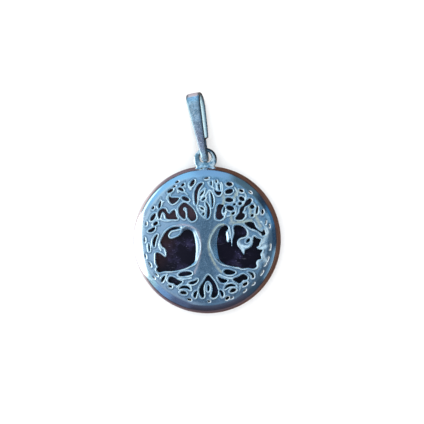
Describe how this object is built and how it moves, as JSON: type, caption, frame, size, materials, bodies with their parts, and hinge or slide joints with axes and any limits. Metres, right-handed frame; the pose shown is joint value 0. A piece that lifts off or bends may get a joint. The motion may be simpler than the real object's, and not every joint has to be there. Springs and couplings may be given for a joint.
{
  "type": "tree of life pendant",
  "caption": "Round domed silver pendant pierced with a tree of life over a dark stone, with a ring eye at its edge and a folded tapered bail that swings in the eye.",
  "frame": {"origin": "centre of the flat back of the disc, on the surface that it lies on", "axes": "+Z out of the pendant's front, +Y from the disc's centre towards the eye and the bail, +X to the right seen from the front"},
  "size_m": [0.025, 0.0376, 0.0052],
  "materials": {
    "silver_front": "satin, oxidised in the recesses",
    "silver_back": "satin with fine scratches",
    "silver_bail": "worn polish",
    "dark_stone": "polished"
  },
  "bodies": {
    "pendant": {"tree_front": "silver_front", "stone": "dark_stone", "back_plate": "silver_back"},
    "bail": {"bail": "silver_bail"}
  },
  "joints": [
    {"name": "bail_lift", "type": "hinge", "parent": "pendant", "child": "bail", "pos_m": [-0.00057, 0.01522, 0.0023], "axis": [0.974, 0.1717, 0.1478], "range_deg": [0, 120]}
  ]
}
